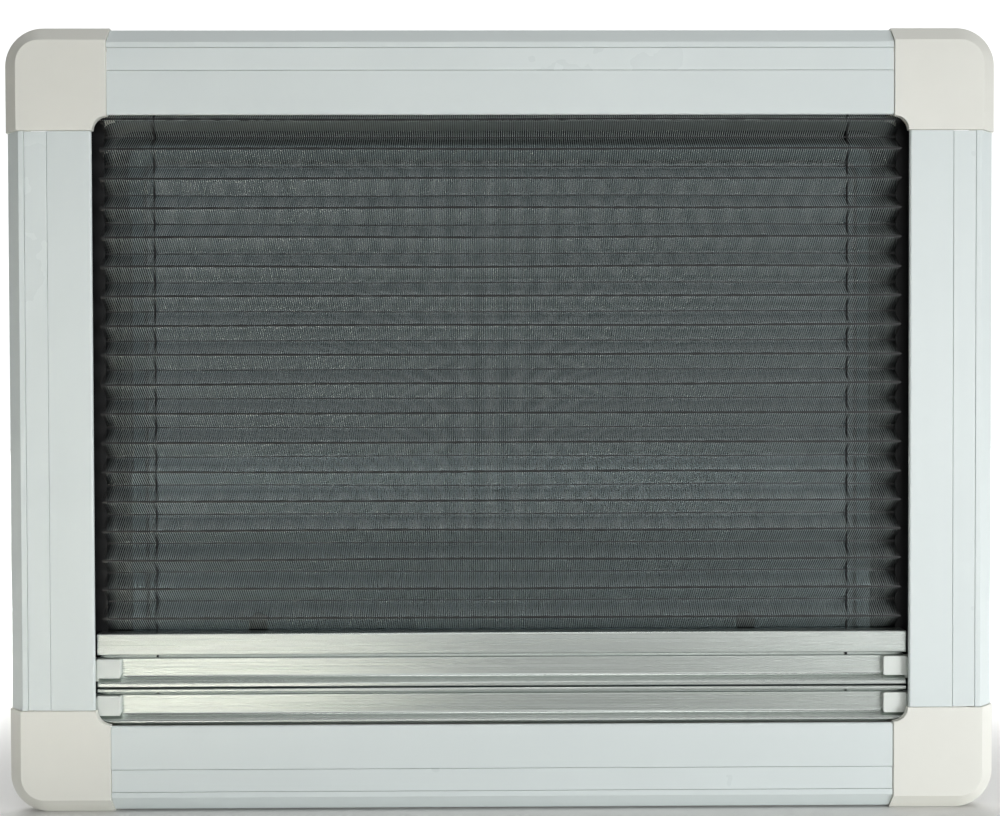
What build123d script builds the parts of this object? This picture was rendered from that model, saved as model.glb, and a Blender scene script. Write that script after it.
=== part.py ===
from build123d import *
import math
import os

# Caravan window with a white inner frame, a pleated fly screen and a blackout blind on two
# pull bars, and a double acrylic pane hung in an outer frame.
# Millimetres. +X is right as seen from the room, +Y is towards the outside, +Z is up.
# The origin is the middle of the bottom rail's foot, on the inner skin of the wall.

# Clear opening and the wall the window sits in
OPEN_WIDTH = 594.0
OPEN_HEIGHT = 444.0
WALL_THICKNESS = 30.0

# Rail section: p runs outwards from the opening, v runs from the wall towards the room
MAIN_WIDTH = 31.8
CHANNEL_WIDTH = 16.7
LIP_WIDTH = 3.9
BEVEL_RUN = 11.0
BEVEL_DEPTH = 9.0
FRAME_DEPTH = 22.0
RAIL_WALL = 1.6
REAR_PLATE_BACK = 1.0
REAR_PLATE_EDGE = 0.5
NOSE_DEPTH = 3.4
NOSE_WIDTH = 2.5
NOSE_RADIUS = 1.6
RAIL_EDGE_RADIUS = 0.6
CHANNEL_EDGE_RADIUS = 0.3
SCREW_RADIUS = 2.25
SCREW_INSET = 97.0
SCREW_INSET_SIDE = 92.0

# Cover strips that clip into the screw channels
STRIP_THICKNESS = 1.5
STRIP_GAP = 0.3
STRIP_END_GAP = 0.35
STRIP_LEDGE = 1.5
STRIP_LEG_DEPTH = 4.0
STRIP_LEG_WALL = 1.0
STRIP_LEG_PLAY = 0.2
STRIP_EDGE_RADIUS = 0.35

# Moulded corner blocks
CORNER_LEG = 11.4
CORNER_GAP = 0.3
CORNER_LAP = 1.4
CORNER_PROUD = 0.8
CORNER_INNER_LAP = 1.0
CORNER_WALL = 2.2
CORNER_FACE_RADIUS = 17.0
CORNER_FOOT_RADIUS = 28.0
CORNER_RIM_DEPTH = 3.6
CORNER_RIM_WALL = 2.0
CORNER_EDGE_RADIUS = 0.6
CORNER_ARC_RADIUS = 0.5
TONGUE_LENGTH = 30.0
TONGUE_WIDTH = 6.6
TONGUE_BACK = 3.0
TONGUE_DEPTH = 9.0
TONGUE_PLAY = 0.3
TONGUE_ROOT = 34.0

# Guide channels that line the side rails
GUIDE_WALL = 1.2
GUIDE_EDGE = 2.8
GUIDE_LIGHT_LIP = 4.0

# Pleated cloths and their draw cords
CLOTH_SIDE_GAP = 4.5
CLOTH_THICKNESS = 0.7
CLOTH_BACK = 3.5
CLOTH_DEPTH = 14.0
CLOTH_PLAY = 0.3
PLEATS = 19
STACK_PLAY = 1.2
STACK_GROOVE = 1.2
CORD_RADIUS = 0.6
CORD_INSET = 42.0
CORD_DEPTH = 8.5
CORD_HOLE_RADIUS = 0.9

# Pull bars: section heights count from each bar's lower front edge
BAR_FRONT = 17.0
BAR_BACK = 5.0
BAR_RECESS = 12.0
BAR_WALL = 1.3
BAR_END_GAP = 0.4
BAR_GAP = 1.1
BAR_EDGE_RADIUS = 1.0
BAR_LIP_RADIUS = 0.7
BAR_RECESS_RADIUS = 1.8
BAR_GROOVE_DEPTH = 4.4
BAR_GROOVE_RADIUS = 0.9
SCREEN_BAR_HEIGHT = 39.4
SCREEN_BAR_FLANGE = 15.8
SCREEN_BAR_LIP = 2.9
SCREEN_BAR_GROOVE = 2.9
BLIND_BAR_LIFT = 0.9
BLIND_BAR_HEIGHT = 25.2
BLIND_BAR_FLANGE = 2.9
BLIND_BAR_LIP = 1.6
BLIND_BAR_GROOVE = 2.2
BLIND_BAR_TAIL = 1.9
BLIND_BAR_TAIL_FRONT = 14.0
LEDGE_RISE = 4.2
CLOTH_SLOT = 1.2
CLOTH_SLOT_CENTRE = 10.1

# End caps of the pull bars, which run in the guide channels
CAP_LENGTH = 16.4
CAP_SETBACK = 0.6
CAP_PLATE = 0.9
CAP_GAP = 0.8
CAP_TOP_GAP = 0.2
CAP_LIFT = 2.0
CAP_CORNER_RADIUS = 1.6
CAP_EDGE_RADIUS = 0.5
GLIDE_REACH = 22.0
GLIDE_HEIGHT = 15.0
GLIDE_PLAY = 0.3
GLIDE_RADIUS = 2.0

# Outer frame: jamb through the wall and flange on the outer skin
JAMB_WALL = 2.0
JAMB_RADIUS = 18.0
FLANGE_WIDTH = 24.0
FLANGE_THICKNESS = 3.0

# Pane and its seal
SEAL_INSET = 3.0
SEAL_WIDTH = 8.0
SEAL_HEIGHT = 6.0
SEAL_RADIUS = 2.0
PANE_OVERLAP = 14.0
PANE_THICKNESS = 3.0
PANE_EDGE_RADIUS = 1.2
INNER_PANE_LAP = 2.0
INNER_PANE_THICKNESS = 2.5
INNER_PANE_RIM = 10.0
INNER_PANE_RISE = 14.0
INNER_PANE_SLOPE = 16.0
INNER_PANE_RADIUS = 12.0

# Top hinge
HINGE_BEAD_RADIUS = 2.2
HINGE_BEAD_HEIGHT = 19.0
HINGE_PLAY = 0.3
HINGE_SOCKET_RADIUS = 4.2
HINGE_FOOT_THICKNESS = 2.0
HINGE_STRIP_WALL = 1.4
HINGE_STRIP_LAP = 5.0
HINGE_MOUTH_LOW = -125.0
HINGE_MOUTH_HIGH = -35.0

# Turn catches near the pane's lower edge
CATCH_INSET = 112.0
CATCH_HEIGHT = 46.0
CATCH_BASE_RADIUS = 13.0
CATCH_BASE_THICKNESS = 5.0
CATCH_HUB_RADIUS = 8.0
CATCH_HUB_THICKNESS = 8.0
CATCH_LEVER_LENGTH = 38.0
CATCH_LEVER_WIDTH = 13.0
CATCH_LEVER_THICKNESS = 5.0
CATCH_TONGUE_LENGTH = 30.0
KEEPER_WIDTH = 32.0
KEEPER_THICKNESS = 3.0
KEEPER_DEPTH = 9.0
KEEPER_LAP = 4.0

# Friction stays along the sides
STAY_INSET = 15.0
STAY_DEPTH = 13.0
STAY_TUBE_RADIUS = 4.0
STAY_TUBE_WALL = 1.0
STAY_TUBE_LENGTH = 190.0
STAY_ROD_RADIUS = 2.6
STAY_ROD_LENGTH = 150.0
STAY_BELOW_TOP = 70.0
STAY_BRACKET = 14.0
STAY_PLATE = 3.0

# Places worked out from the sizes above
HALF_WIDTH = OPEN_WIDTH / 2
FACE_EDGE = MAIN_WIDTH + CHANNEL_WIDTH + LIP_WIDTH
WALL_EDGE = FACE_EDGE + BEVEL_RUN
SHOULDER = FRAME_DEPTH - BEVEL_DEPTH
OPEN_BOTTOM = MAIN_WIDTH + CHANNEL_WIDTH / 2
OPEN_TOP = OPEN_BOTTOM + OPEN_HEIGHT
MIDDLE = (OPEN_BOTTOM + OPEN_TOP) / 2
CASSETTE = MAIN_WIDTH - RAIL_WALL
REAR_PLATE_FRONT = REAR_PLATE_BACK + RAIL_WALL
CLOTH_FRONT = CLOTH_BACK + CLOTH_DEPTH
BLIND_BAR_BOTTOM = OPEN_BOTTOM + BLIND_BAR_LIFT
SCREEN_BAR_BOTTOM = BLIND_BAR_BOTTOM + BLIND_BAR_HEIGHT + BAR_GAP
SCREEN_BAR_TOP = SCREEN_BAR_BOTTOM + SCREEN_BAR_HEIGHT
BAR_HALF = HALF_WIDTH - BAR_END_GAP
PANE_BACK = WALL_THICKNESS + FLANGE_THICKNESS + SEAL_HEIGHT
PANE_FRONT = PANE_BACK + PANE_THICKNESS
DISH_FRONT = PANE_BACK - INNER_PANE_RISE
HINGE_LENGTH = OPEN_WIDTH - 2 * JAMB_RADIUS
SCREW_X = HALF_WIDTH - SCREW_INSET
SCREW_Z = OPEN_HEIGHT / 2 - SCREW_INSET_SIDE
CORD_SPACING = OPEN_WIDTH - 2 * CORD_INSET
STACK_HEIGHT = CASSETTE - STACK_PLAY
CATCH_X = HALF_WIDTH - CATCH_INSET


def save(name, shape):
    """Writes one node."""
    export_step(shape, os.path.join("parts", name + ".step"))


def section_box(p0, p1, v0, v1):
    """Rectangle of a section, by its limits."""
    return Pos((p0 + p1) / 2, (v0 + v1) / 2) * Rectangle(p1 - p0, v1 - v0)


def round_at(section, points, radius):
    """Section with its vertices at these points rounded."""
    for p, v in points:
        found = section.vertices().filter_by(lambda q: math.hypot(q.X - p, q.Y - v) < 0.01)
        section = fillet(found, radius)
    return section


def block(x0, x1, y0, y1, z0, z1):
    """Box by its limits."""
    return Pos((x0 + x1) / 2, (y0 + y1) / 2, (z0 + z1) / 2) * Box(x1 - x0, y1 - y0, z1 - z0)


def side_plane(side, length):
    """Plane at the start of a rail: local x runs out of the opening, local y to the room."""
    half = length / 2
    places = {
        "top": ((-half, 0, OPEN_TOP), (0, 0, 1), (1, 0, 0)),
        "bottom": ((half, 0, OPEN_BOTTOM), (0, 0, -1), (-1, 0, 0)),
        "right": ((HALF_WIDTH, 0, MIDDLE + half), (1, 0, 0), (0, 0, -1)),
        "left": ((-HALF_WIDTH, 0, MIDDLE - half), (-1, 0, 0), (0, 0, 1)),
    }
    origin, outwards, along = places[side]
    return Plane(origin=origin, x_dir=outwards, z_dir=along)


def rail_length(side):
    """Length of a rail between its two corner blocks."""
    span = OPEN_WIDTH if side in ("top", "bottom") else OPEN_HEIGHT
    return span - 2 * (CORNER_LEG + CORNER_GAP)


def rail_section():
    """Extruded section of a rail: hollow bevelled edge, screw channel and cassette behind the face."""
    front = FRAME_DEPTH - RAIL_WALL
    channel = MAIN_WIDTH + CHANNEL_WIDTH
    ledge_front = FRAME_DEPTH - STRIP_THICKNESS
    corners = [(channel, 0), (WALL_EDGE, 0), (WALL_EDGE, SHOULDER)]
    corners += [(FACE_EDGE, FRAME_DEPTH), (channel, FRAME_DEPTH)]
    edge = make_face(Polyline(*corners, close=True))
    section = edge - offset(edge, -RAIL_WALL)
    section += section_box(CASSETTE, MAIN_WIDTH, 0, FRAME_DEPTH)
    section += section_box(CASSETTE, channel + RAIL_WALL, 0, RAIL_WALL)
    section += section_box(MAIN_WIDTH, MAIN_WIDTH + STRIP_LEDGE, ledge_front - RAIL_WALL, ledge_front)
    section += section_box(channel - STRIP_LEDGE, channel, ledge_front - RAIL_WALL, ledge_front)
    section += section_box(REAR_PLATE_EDGE, MAIN_WIDTH, REAR_PLATE_BACK, REAR_PLATE_FRONT)
    section += section_box(NOSE_RADIUS, MAIN_WIDTH, front, FRAME_DEPTH)
    nose = section_box(0, NOSE_WIDTH, FRAME_DEPTH - NOSE_DEPTH, FRAME_DEPTH)
    section += fillet(nose.vertices().group_by(Axis.X)[0], NOSE_RADIUS)
    section = round_at(section, [(FACE_EDGE, FRAME_DEPTH), (WALL_EDGE, SHOULDER)], RAIL_EDGE_RADIUS)
    return round_at(section, [(MAIN_WIDTH, FRAME_DEPTH), (channel, FRAME_DEPTH)], CHANNEL_EDGE_RADIUS)


def rail(side):
    """One rail with the screw holes in its channel floor."""
    length = rail_length(side)
    body = extrude(side_plane(side, length) * rail_section(), amount=length)
    reach = SCREW_X if side in ("top", "bottom") else SCREW_Z
    centre = MAIN_WIDTH + CHANNEL_WIDTH / 2
    for along in (length / 2 - reach, length / 2 + reach):
        hole = Pos(centre, 0, along) * Rot(90, 0, 0) * Cylinder(SCREW_RADIUS, 3 * RAIL_WALL)
        body -= side_plane(side, length).location * hole
    return body


def cover_strip(side):
    """Strip that clips over the screw heads, with two legs behind the channel's ledges."""
    length = rail_length(side) - 2 * STRIP_END_GAP
    low = MAIN_WIDTH + STRIP_GAP
    high = MAIN_WIDTH + CHANNEL_WIDTH - STRIP_GAP
    back = FRAME_DEPTH - STRIP_THICKNESS
    face = section_box(low, high, back, FRAME_DEPTH)
    section = fillet(face.vertices().group_by(Axis.Y)[-1], STRIP_EDGE_RADIUS)
    leg = MAIN_WIDTH + STRIP_LEDGE + STRIP_LEG_PLAY
    far_leg = MAIN_WIDTH + CHANNEL_WIDTH - STRIP_LEDGE - STRIP_LEG_PLAY
    section += section_box(leg, leg + STRIP_LEG_WALL, back - STRIP_LEG_DEPTH, back)
    section += section_box(far_leg - STRIP_LEG_WALL, far_leg, back - STRIP_LEG_DEPTH, back)
    return extrude(side_plane(side, length) * section, amount=length)


def corner_outline(low, high, radius):
    """Square from low to high whose outermost corner is rounded."""
    square = section_box(low, high, low, high)
    return fillet(square.vertices().sort_by(lambda v: v.X + v.Y)[-1:], radius)


def bevelled(side, shoulder, top, height):
    """Block with straight sides up to a shoulder and a bevel from there to its top outline."""
    ends = [(Pos(0, 0, shoulder) * side).face(), (Pos(0, 0, height) * top).face()]
    return extrude(side, amount=shoulder) + loft(ends, ruled=True)


def mitre(along, across):
    """How far a wall's inner edge sits from its outer one where the wall meets the bevel."""
    return CORNER_WALL * (math.hypot(along, across) - across) / along


def corner_block():
    """Corner block at the origin: local x and y run out of the opening, local z to the room."""
    face = FRAME_DEPTH + CORNER_PROUD
    leg = CORNER_LEG
    side_edge, top_edge = WALL_EDGE + CORNER_LAP, FACE_EDGE + CORNER_LAP
    side = corner_outline(-leg, side_edge, CORNER_FOOT_RADIUS)
    top = corner_outline(-leg, top_edge, CORNER_FACE_RADIUS)
    outer = bevelled(side, SHOULDER, top, face)
    outer = fillet(outer.faces().sort_by(Axis.Z)[-1].edges(), CORNER_EDGE_RADIUS)

    depth = face - SHOULDER
    inset = mitre(depth, BEVEL_RUN)
    inner_side = corner_outline(-2 * leg, side_edge - CORNER_WALL, CORNER_FOOT_RADIUS - CORNER_WALL)
    inner_top = corner_outline(-2 * leg, top_edge - inset, CORNER_FACE_RADIUS - inset)
    cavity = bevelled(inner_side, SHOULDER - mitre(BEVEL_RUN, depth), inner_top, face - CORNER_WALL)

    radius = leg - CORNER_INNER_LAP
    view = extrude(corner_outline(-2 * leg, -CORNER_INNER_LAP, radius), amount=face)
    rim_edge = CORNER_RIM_WALL - CORNER_INNER_LAP
    rim = extrude(corner_outline(-2 * leg, rim_edge, radius + CORNER_RIM_WALL), amount=face)
    rim -= block(-3 * leg, WALL_EDGE, -3 * leg, WALL_EDGE, 0, FRAME_DEPTH - CORNER_RIM_DEPTH)

    low = MAIN_WIDTH + CHANNEL_WIDTH + RAIL_WALL + TONGUE_PLAY
    high = low + TONGUE_WIDTH
    back, front = TONGUE_BACK, TONGUE_BACK + TONGUE_DEPTH
    webs = block(-leg, TONGUE_ROOT, low, high, back, face)
    webs += block(low, high, -leg, TONGUE_ROOT, back, face)
    cassette = block(-leg, MAIN_WIDTH, CASSETTE, MAIN_WIDTH, REAR_PLATE_BACK, face)
    cassette += block(CASSETTE, MAIN_WIDTH, -leg, MAIN_WIDTH, REAR_PLATE_BACK, face)
    cassette += block(-leg, MAIN_WIDTH, -leg, MAIN_WIDTH, REAR_PLATE_BACK, REAR_PLATE_FRONT)
    shell = outer - cavity + ((rim + webs + cassette) & outer) - view
    shell += block(-leg - TONGUE_LENGTH, TONGUE_ROOT, low, high, back, front)
    shell += block(low, high, -leg - TONGUE_LENGTH, TONGUE_ROOT, back, front)
    arcs = shell.edges().filter_by(GeomType.CIRCLE).filter_by(lambda e: abs(e.radius - radius) < 0.01)
    return fillet(arcs.sort_by(Axis.Z)[-1], CORNER_ARC_RADIUS)


def corners():
    """The four corner blocks, mirrored from the top right one."""
    place = Plane(origin=(HALF_WIDTH, 0, OPEN_TOP), x_dir=(1, 0, 0), z_dir=(0, -1, 0))
    top_right = place.location * corner_block()
    top_left = mirror(top_right, about=Plane.YZ)
    level = Plane.XY.offset(MIDDLE)
    save("corner_top_right", top_right)
    save("corner_top_left", top_left)
    save("corner_bottom_right", mirror(top_right, about=level))
    save("corner_bottom_left", mirror(top_left, about=level))


def guide_channel(side):
    """Channel pressed into a side rail, with a lip that stops light beside the cloths."""
    front = FRAME_DEPTH - RAIL_WALL
    section = section_box(GUIDE_EDGE, CASSETTE, front - GUIDE_WALL, front)
    rear = REAR_PLATE_FRONT + GUIDE_WALL
    section += section_box(-GUIDE_LIGHT_LIP, CASSETTE, REAR_PLATE_FRONT, rear)
    section += section_box(CASSETTE - GUIDE_WALL, CASSETTE, REAR_PLATE_FRONT, front)
    return extrude(side_plane(side, OPEN_HEIGHT) * section, amount=OPEN_HEIGHT)


def cord_line(sign, radius):
    """Cylinder along one draw cord, between the two cassettes."""
    length = OPEN_HEIGHT + 2 * CASSETTE
    return Pos(sign * CORD_SPACING / 2, -CORD_DEPTH, MIDDLE) * Cylinder(radius, length)


def cord_holes():
    """The holes that let both cords pass."""
    return cord_line(-1, CORD_HOLE_RADIUS) + cord_line(1, CORD_HOLE_RADIUS)


def zigzag(bottom, top, back, front):
    """Points of a pleated line that climbs from bottom to top between two depths."""
    step = (top - bottom) / (2 * PLEATS)
    return [(-(front if i % 2 else back), bottom + i * step) for i in range(2 * PLEATS + 1)]


def pleated(lines):
    """Cloth between two pleated lines, across the opening."""
    width = OPEN_WIDTH - 2 * CLOTH_SIDE_GAP
    section = make_face(Polyline(*lines[0], *reversed(lines[1]), close=True))
    return extrude(Plane.YZ.offset(-width / 2) * section, amount=width) - cord_holes()


def flyscreen():
    """Pleated mesh from the top cassette down to the screen's pull bar."""
    bottom = SCREEN_BAR_TOP + CLOTH_PLAY
    top = OPEN_TOP + CASSETTE - CLOTH_PLAY
    front = CLOTH_FRONT - CLOTH_THICKNESS
    rear_line = zigzag(bottom, top, CLOTH_BACK, front)
    front_line = zigzag(bottom, top, CLOTH_BACK + CLOTH_THICKNESS, CLOTH_FRONT)
    return pleated([rear_line, front_line])


def blackout_blind():
    """Folded blackout cloth in the bottom cassette: a concertina with grooved front and back."""
    bottom = OPEN_BOTTOM - CASSETTE + CLOTH_PLAY
    top = bottom + STACK_HEIGHT - 2 * CLOTH_PLAY
    rear_line = zigzag(bottom, top, CLOTH_BACK + STACK_GROOVE, CLOTH_BACK)
    front_line = zigzag(bottom, top, CLOTH_FRONT - STACK_GROOVE, CLOTH_FRONT)
    return pleated([rear_line, front_line])


def bar_profile(height, flange, lip, bottom, groove, tail):
    """Section of a pull bar: flange over a finger recess that ends in a sloping ledge and a lip."""
    roof = height - flange
    groove_back = BAR_RECESS - BAR_GROOVE_DEPTH
    outline = [(-BAR_FRONT, lip), (-BAR_RECESS, lip + LEDGE_RISE), (-BAR_RECESS, roof - groove)]
    outline += [(-groove_back, roof - groove), (-groove_back, roof), (-BAR_FRONT, roof)]
    outline += [(-BAR_FRONT, height), (-BAR_BACK, height), (-BAR_BACK, -tail)]
    if tail:
        outline += [(-BLIND_BAR_TAIL_FRONT, -tail), (-BLIND_BAR_TAIL_FRONT, 0)]
    outline += [(-BAR_FRONT, 0)]
    section = make_face(Polyline(*outline, close=True))
    section = round_at(section, [(-BAR_FRONT, height), (-BAR_FRONT, roof)], BAR_EDGE_RADIUS)
    section = round_at(section, [(-BAR_FRONT, lip), (-BAR_FRONT, 0)], BAR_LIP_RADIUS)
    section = round_at(section, [(-BAR_RECESS, lip + LEDGE_RISE)], BAR_RECESS_RADIUS)
    section = round_at(section, [(-BAR_RECESS, roof - groove)], BAR_GROOVE_RADIUS)
    rear = -BAR_BACK - BAR_WALL
    section -= section_box(BAR_WALL - BAR_RECESS, rear, BAR_WALL - tail, roof - groove - BAR_WALL)
    if flange > 4 * BAR_WALL:
        section -= section_box(BAR_WALL - BAR_FRONT, rear, roof + BAR_WALL, height - BAR_WALL)
    return Pos(0, bottom) * section


def bar(section, slot_low, slot_high):
    """Pull bar cut to length, with the cloth's slot and the cords' holes."""
    body = extrude(Plane.YZ.offset(-BAR_HALF) * section, amount=2 * BAR_HALF)
    near = CLOTH_SLOT_CENTRE - CLOTH_SLOT / 2
    far = CLOTH_SLOT_CENTRE + CLOTH_SLOT / 2
    body -= block(-HALF_WIDTH, HALF_WIDTH, -far, -near, slot_low, slot_high)
    return body - cord_holes()


def end_cap(sign, height, flange, lip, bottom, groove):
    """End cap: a plug in the finger recess, a plate over the bar's end and a glide for the guide."""
    front = BAR_FRONT - CAP_SETBACK
    rise = LEDGE_RISE * CAP_SETBACK / (BAR_FRONT - BAR_RECESS) + CAP_LIFT
    floor, roof = lip + CAP_GAP, height - flange - groove - CAP_TOP_GAP
    plug = [(-front, floor + rise), (-BAR_RECESS, floor + LEDGE_RISE)]
    plug += [(-BAR_RECESS, roof), (-front, roof)]
    start = BAR_HALF - CAP_LENGTH
    section = Pos(0, bottom) * make_face(Polyline(*plug, close=True))
    cap = extrude(Plane.YZ.offset(start) * section, amount=CAP_LENGTH + CAP_PLATE)
    inner_end = cap.faces().sort_by(Axis.X)[0].edges().sort_by(Axis.Z)
    cap = fillet([inner_end[0], inner_end[-1]], CAP_CORNER_RADIUS)
    cap = fillet(cap.faces().sort_by(Axis.Y)[0].edges(), CAP_EDGE_RADIUS)
    plate_front = front - CAP_EDGE_RADIUS
    plate_low, plate_high = bottom + floor + rise, bottom + roof
    cap += block(BAR_HALF, BAR_HALF + CAP_PLATE, -plate_front, -BAR_BACK, plate_low, plate_high)
    back = REAR_PLATE_FRONT + GUIDE_WALL + GLIDE_PLAY
    face = FRAME_DEPTH - RAIL_WALL - GUIDE_WALL - GLIDE_PLAY
    middle = bottom + (height - flange) / 2
    low, high = middle - GLIDE_HEIGHT / 2, middle + GLIDE_HEIGHT / 2
    mouth = HALF_WIDTH + GUIDE_EDGE
    cap += block(BAR_HALF, mouth, -plate_front, -back, low, high)
    glide = block(mouth, HALF_WIDTH + GLIDE_REACH, -face, -back, low, high)
    tip = glide.edges().filter_by(Axis.Y).group_by(Axis.X)[-1]
    cap += fillet(tip, GLIDE_RADIUS)
    return cap if sign > 0 else mirror(cap, about=Plane.YZ)


def pull_bars():
    """Both pull bars with their end caps."""
    screen = (SCREEN_BAR_HEIGHT, SCREEN_BAR_FLANGE, SCREEN_BAR_LIP, SCREEN_BAR_BOTTOM, SCREEN_BAR_GROOVE)
    blind = (BLIND_BAR_HEIGHT, BLIND_BAR_FLANGE, BLIND_BAR_LIP, BLIND_BAR_BOTTOM, BLIND_BAR_GROOVE)
    screen_section = bar_profile(*screen, 0)
    blind_section = bar_profile(*blind, BLIND_BAR_TAIL)
    tail_bottom = BLIND_BAR_BOTTOM - BLIND_BAR_TAIL
    save("screen_pull_bar", bar(screen_section, SCREEN_BAR_TOP - BAR_WALL, SCREEN_BAR_TOP))
    save("blind_pull_bar", bar(blind_section, tail_bottom, tail_bottom + BAR_WALL))
    for sign, hand in ((-1, "left"), (1, "right")):
        save("screen_bar_cap_" + hand, end_cap(sign, *screen))
        save("blind_bar_cap_" + hand, end_cap(sign, *blind))


def ring_outline(grow):
    """Rounded outline that stands outside the clear opening by grow all round."""
    radius = max(JAMB_RADIUS + grow, INNER_PANE_RADIUS)
    return RectangleRounded(OPEN_WIDTH + 2 * grow, OPEN_HEIGHT + 2 * grow, radius)


def layer(sketch, y0, y1):
    """Sketch of the opening's plane, thickened from y0 to y1."""
    plane = Plane(origin=(0, y0, MIDDLE), x_dir=(-1, 0, 0), z_dir=(0, 1, 0))
    return extrude(plane * sketch, amount=y1 - y0)


def outer_frame():
    """Jamb through the wall with a flange on the outer skin."""
    jamb = ring_outline(JAMB_WALL) - ring_outline(0)
    flange = ring_outline(FLANGE_WIDTH) - ring_outline(0)
    body = layer(jamb, -REAR_PLATE_BACK, WALL_THICKNESS + FLANGE_THICKNESS)
    return body + layer(flange, WALL_THICKNESS, WALL_THICKNESS + FLANGE_THICKNESS)


def pane_seal():
    """Rubber ring between the flange and the pane."""
    base = WALL_THICKNESS + FLANGE_THICKNESS
    body = layer(ring_outline(SEAL_INSET + SEAL_WIDTH) - ring_outline(SEAL_INSET), base, PANE_BACK)
    return fillet(body.faces().sort_by(Axis.Y)[-1].edges(), SEAL_RADIUS)


def outer_pane():
    """Outer acrylic sheet with rounded edges."""
    body = layer(ring_outline(PANE_OVERLAP), PANE_BACK, PANE_FRONT)
    return fillet(body.faces().sort_by(Axis.Y)[-1].edges(), PANE_EDGE_RADIUS)


def inner_pane():
    """Inner acrylic sheet: a shallow dish whose rim is bonded to the outer sheet."""
    thick = INNER_PANE_THICKNESS
    shoulder = INNER_PANE_LAP - INNER_PANE_RIM
    rim = layer(ring_outline(INNER_PANE_LAP), PANE_BACK - thick, PANE_BACK)
    dish = frustum(shoulder, PANE_BACK - thick, shoulder - INNER_PANE_SLOPE, DISH_FRONT)
    hollow = frustum(shoulder - thick, PANE_BACK, shoulder - INNER_PANE_SLOPE - thick, DISH_FRONT + thick)
    return rim + dish - hollow


def frustum(grow0, y0, grow1, y1):
    """Tapered block between two outlines of the opening."""
    ends = []
    for grow, y in ((grow0, y0), (grow1, y1)):
        plane = Plane(origin=(0, y, MIDDLE), x_dir=(-1, 0, 0), z_dir=(0, 1, 0))
        ends.append((plane * ring_outline(grow)).face())
    return loft(ends, ruled=True)


def hinge():
    """Top hinge: a socket rail on the flange and a beaded strip on the pane's upper edge."""
    base = WALL_THICKNESS + FLANGE_THICKNESS
    height = OPEN_TOP + HINGE_BEAD_HEIGHT
    depth = (PANE_BACK + PANE_FRONT) / 2
    across = Plane.YZ.offset(-HINGE_LENGTH / 2)
    socket = Circle(HINGE_SOCKET_RADIUS) - Circle(HINGE_BEAD_RADIUS + HINGE_PLAY)
    mouth = [(0, 0)]
    for angle in (HINGE_MOUTH_LOW, HINGE_MOUTH_HIGH):
        turn = math.radians(angle)
        mouth.append((2 * HINGE_SOCKET_RADIUS * math.cos(turn), 2 * HINGE_SOCKET_RADIUS * math.sin(turn)))
    socket -= make_face(Polyline(*mouth, close=True))
    section = Pos(depth, height) * socket
    foot_top = height + HINGE_SOCKET_RADIUS
    section += section_box(base, depth, foot_top - HINGE_FOOT_THICKNESS, foot_top)
    section += section_box(base, base + HINGE_FOOT_THICKNESS, height, foot_top)
    save("hinge_rail", extrude(across * section, amount=HINGE_LENGTH))

    edge = OPEN_TOP + PANE_OVERLAP
    wall = HINGE_STRIP_WALL
    strip = section_box(PANE_BACK - wall, PANE_FRONT + wall, edge, edge + wall)
    strip += section_box(PANE_BACK - wall, PANE_BACK, edge - HINGE_STRIP_LAP / 2, edge)
    strip += section_box(PANE_FRONT, PANE_FRONT + wall, edge - HINGE_STRIP_LAP, edge)
    strip += section_box(depth - wall / 2, depth + wall / 2, edge, height)
    strip += Pos(depth, height) * Circle(HINGE_BEAD_RADIUS)
    save("hinge_strip", extrude(across * strip, amount=HINGE_LENGTH))


def catches():
    """Two turn catches on the inner sheet and their keepers on the jamb."""
    height = OPEN_BOTTOM + CATCH_HEIGHT
    for sign, hand in ((-1, "left"), (1, "right")):
        x = sign * CATCH_X
        base_front = DISH_FRONT - CATCH_BASE_THICKNESS
        base = Pos(x, DISH_FRONT - CATCH_BASE_THICKNESS / 2, height) * Rot(90, 0, 0)
        save("catch_base_" + hand, base * Cylinder(CATCH_BASE_RADIUS, CATCH_BASE_THICKNESS))
        hub_front = base_front - CATCH_HUB_THICKNESS
        hub = Pos(x, base_front - CATCH_HUB_THICKNESS / 2, height) * Rot(90, 0, 0)
        handle = hub * Cylinder(CATCH_HUB_RADIUS, CATCH_HUB_THICKNESS)
        grip = SlotOverall(CATCH_LEVER_LENGTH, CATCH_LEVER_WIDTH, rotation=90)
        middle = height + CATCH_LEVER_LENGTH / 2 - CATCH_HUB_RADIUS
        grip_plane = Plane(origin=(x, hub_front, middle), x_dir=(1, 0, 0), z_dir=(0, 1, 0))
        handle += extrude(grip_plane * grip, amount=CATCH_LEVER_THICKNESS)
        tongue = SlotOverall(CATCH_TONGUE_LENGTH, CATCH_LEVER_WIDTH, rotation=90)
        low = height - CATCH_TONGUE_LENGTH / 2 + CATCH_HUB_RADIUS
        tongue_plane = Plane(origin=(x, hub_front, low), x_dir=(1, 0, 0), z_dir=(0, 1, 0))
        handle += extrude(tongue_plane * tongue, amount=CATCH_LEVER_THICKNESS)
        save("catch_lever_" + hand, handle)
        tip = height + CATCH_HUB_RADIUS - CATCH_TONGUE_LENGTH
        left, right = x - KEEPER_WIDTH / 2, x + KEEPER_WIDTH / 2
        keeper = block(left, right, hub_front - KEEPER_THICKNESS, hub_front, OPEN_BOTTOM, tip + KEEPER_LAP)
        shelf_top = OPEN_BOTTOM + KEEPER_THICKNESS
        keeper += block(left, right, hub_front - KEEPER_DEPTH, hub_front, OPEN_BOTTOM, shelf_top)
        save("catch_keeper_" + hand, keeper)


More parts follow.
